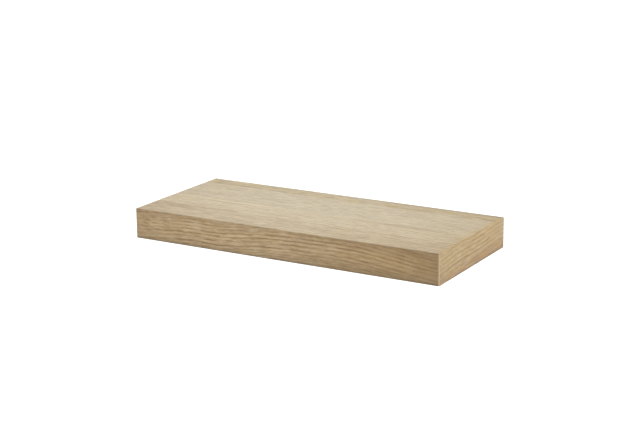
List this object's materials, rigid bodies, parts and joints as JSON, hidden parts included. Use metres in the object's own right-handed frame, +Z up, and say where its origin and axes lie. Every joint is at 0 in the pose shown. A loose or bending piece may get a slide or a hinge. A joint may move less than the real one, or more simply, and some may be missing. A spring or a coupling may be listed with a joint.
{
  "type": "floating wall shelf",
  "caption": "Slab-shaped floating wall shelf: an oak-veneered hollow-core board that slides onto a concealed steel rod bracket and is locked from below.",
  "frame": {"origin": "middle of the board's back face on the wall plane, at the centre of the row of wall-screw holes in the bracket's plate", "axes": "+X along the shelf, +Y into the wall, +Z up; the front edge faces -Y"},
  "size_m": [0.55, 0.235, 0.05],
  "materials": {
    "oak_veneer": "matte",
    "oak_edging": "matte",
    "hardboard": "matte",
    "frame_timber": "matte",
    "core_paper": "matte",
    "staple_steel": "satin",
    "insert_brass": "satin",
    "zinc_steel": "satin",
    "weld_steel": "satin",
    "black_steel": "satin"
  },
  "bodies": {
    "bracket": {"back_plate": "zinc_steel", "left_support_rod": "zinc_steel", "right_support_rod": "zinc_steel", "left_rod_weld": "weld_steel", "right_rod_weld": "weld_steel"},
    "board": {"top_veneer": "oak_veneer", "bottom_veneer": "oak_veneer", "front_edge_band": "oak_edging", "left_edge_band": "oak_edging", "right_edge_band": "oak_edging", "top_skin": "hardboard", "bottom_skin": "hardboard", "front_rail": "frame_timber", "back_rail": "frame_timber", "left_stile": "frame_timber", "right_stile": "frame_timber", "left_rod_rib": "frame_timber", "right_rod_rib": "frame_timber", "left_honeycomb": "core_paper", "centre_honeycomb": "core_paper", "right_honeycomb": "core_paper", "frame_staples": "staple_steel", "left_lock_insert": "insert_brass", "right_lock_insert": "insert_brass"},
    "left_lock": {"left_lock_screw": "black_steel"},
    "right_lock": {"right_lock_screw": "black_steel"}
  },
  "joints": [
    {"name": "board_slide", "type": "slide", "parent": "bracket", "child": "board", "axis": [0, -1, 0], "range_m": [0, 0.18]},
    {"name": "left_lock_travel", "type": "slide", "parent": "board", "child": "left_lock", "axis": [0, 0, -1], "range_m": [0, 0.0025]},
    {"name": "right_lock_travel", "type": "slide", "parent": "board", "child": "right_lock", "axis": [0, 0, -1], "range_m": [0, 0.0025]}
  ]
}
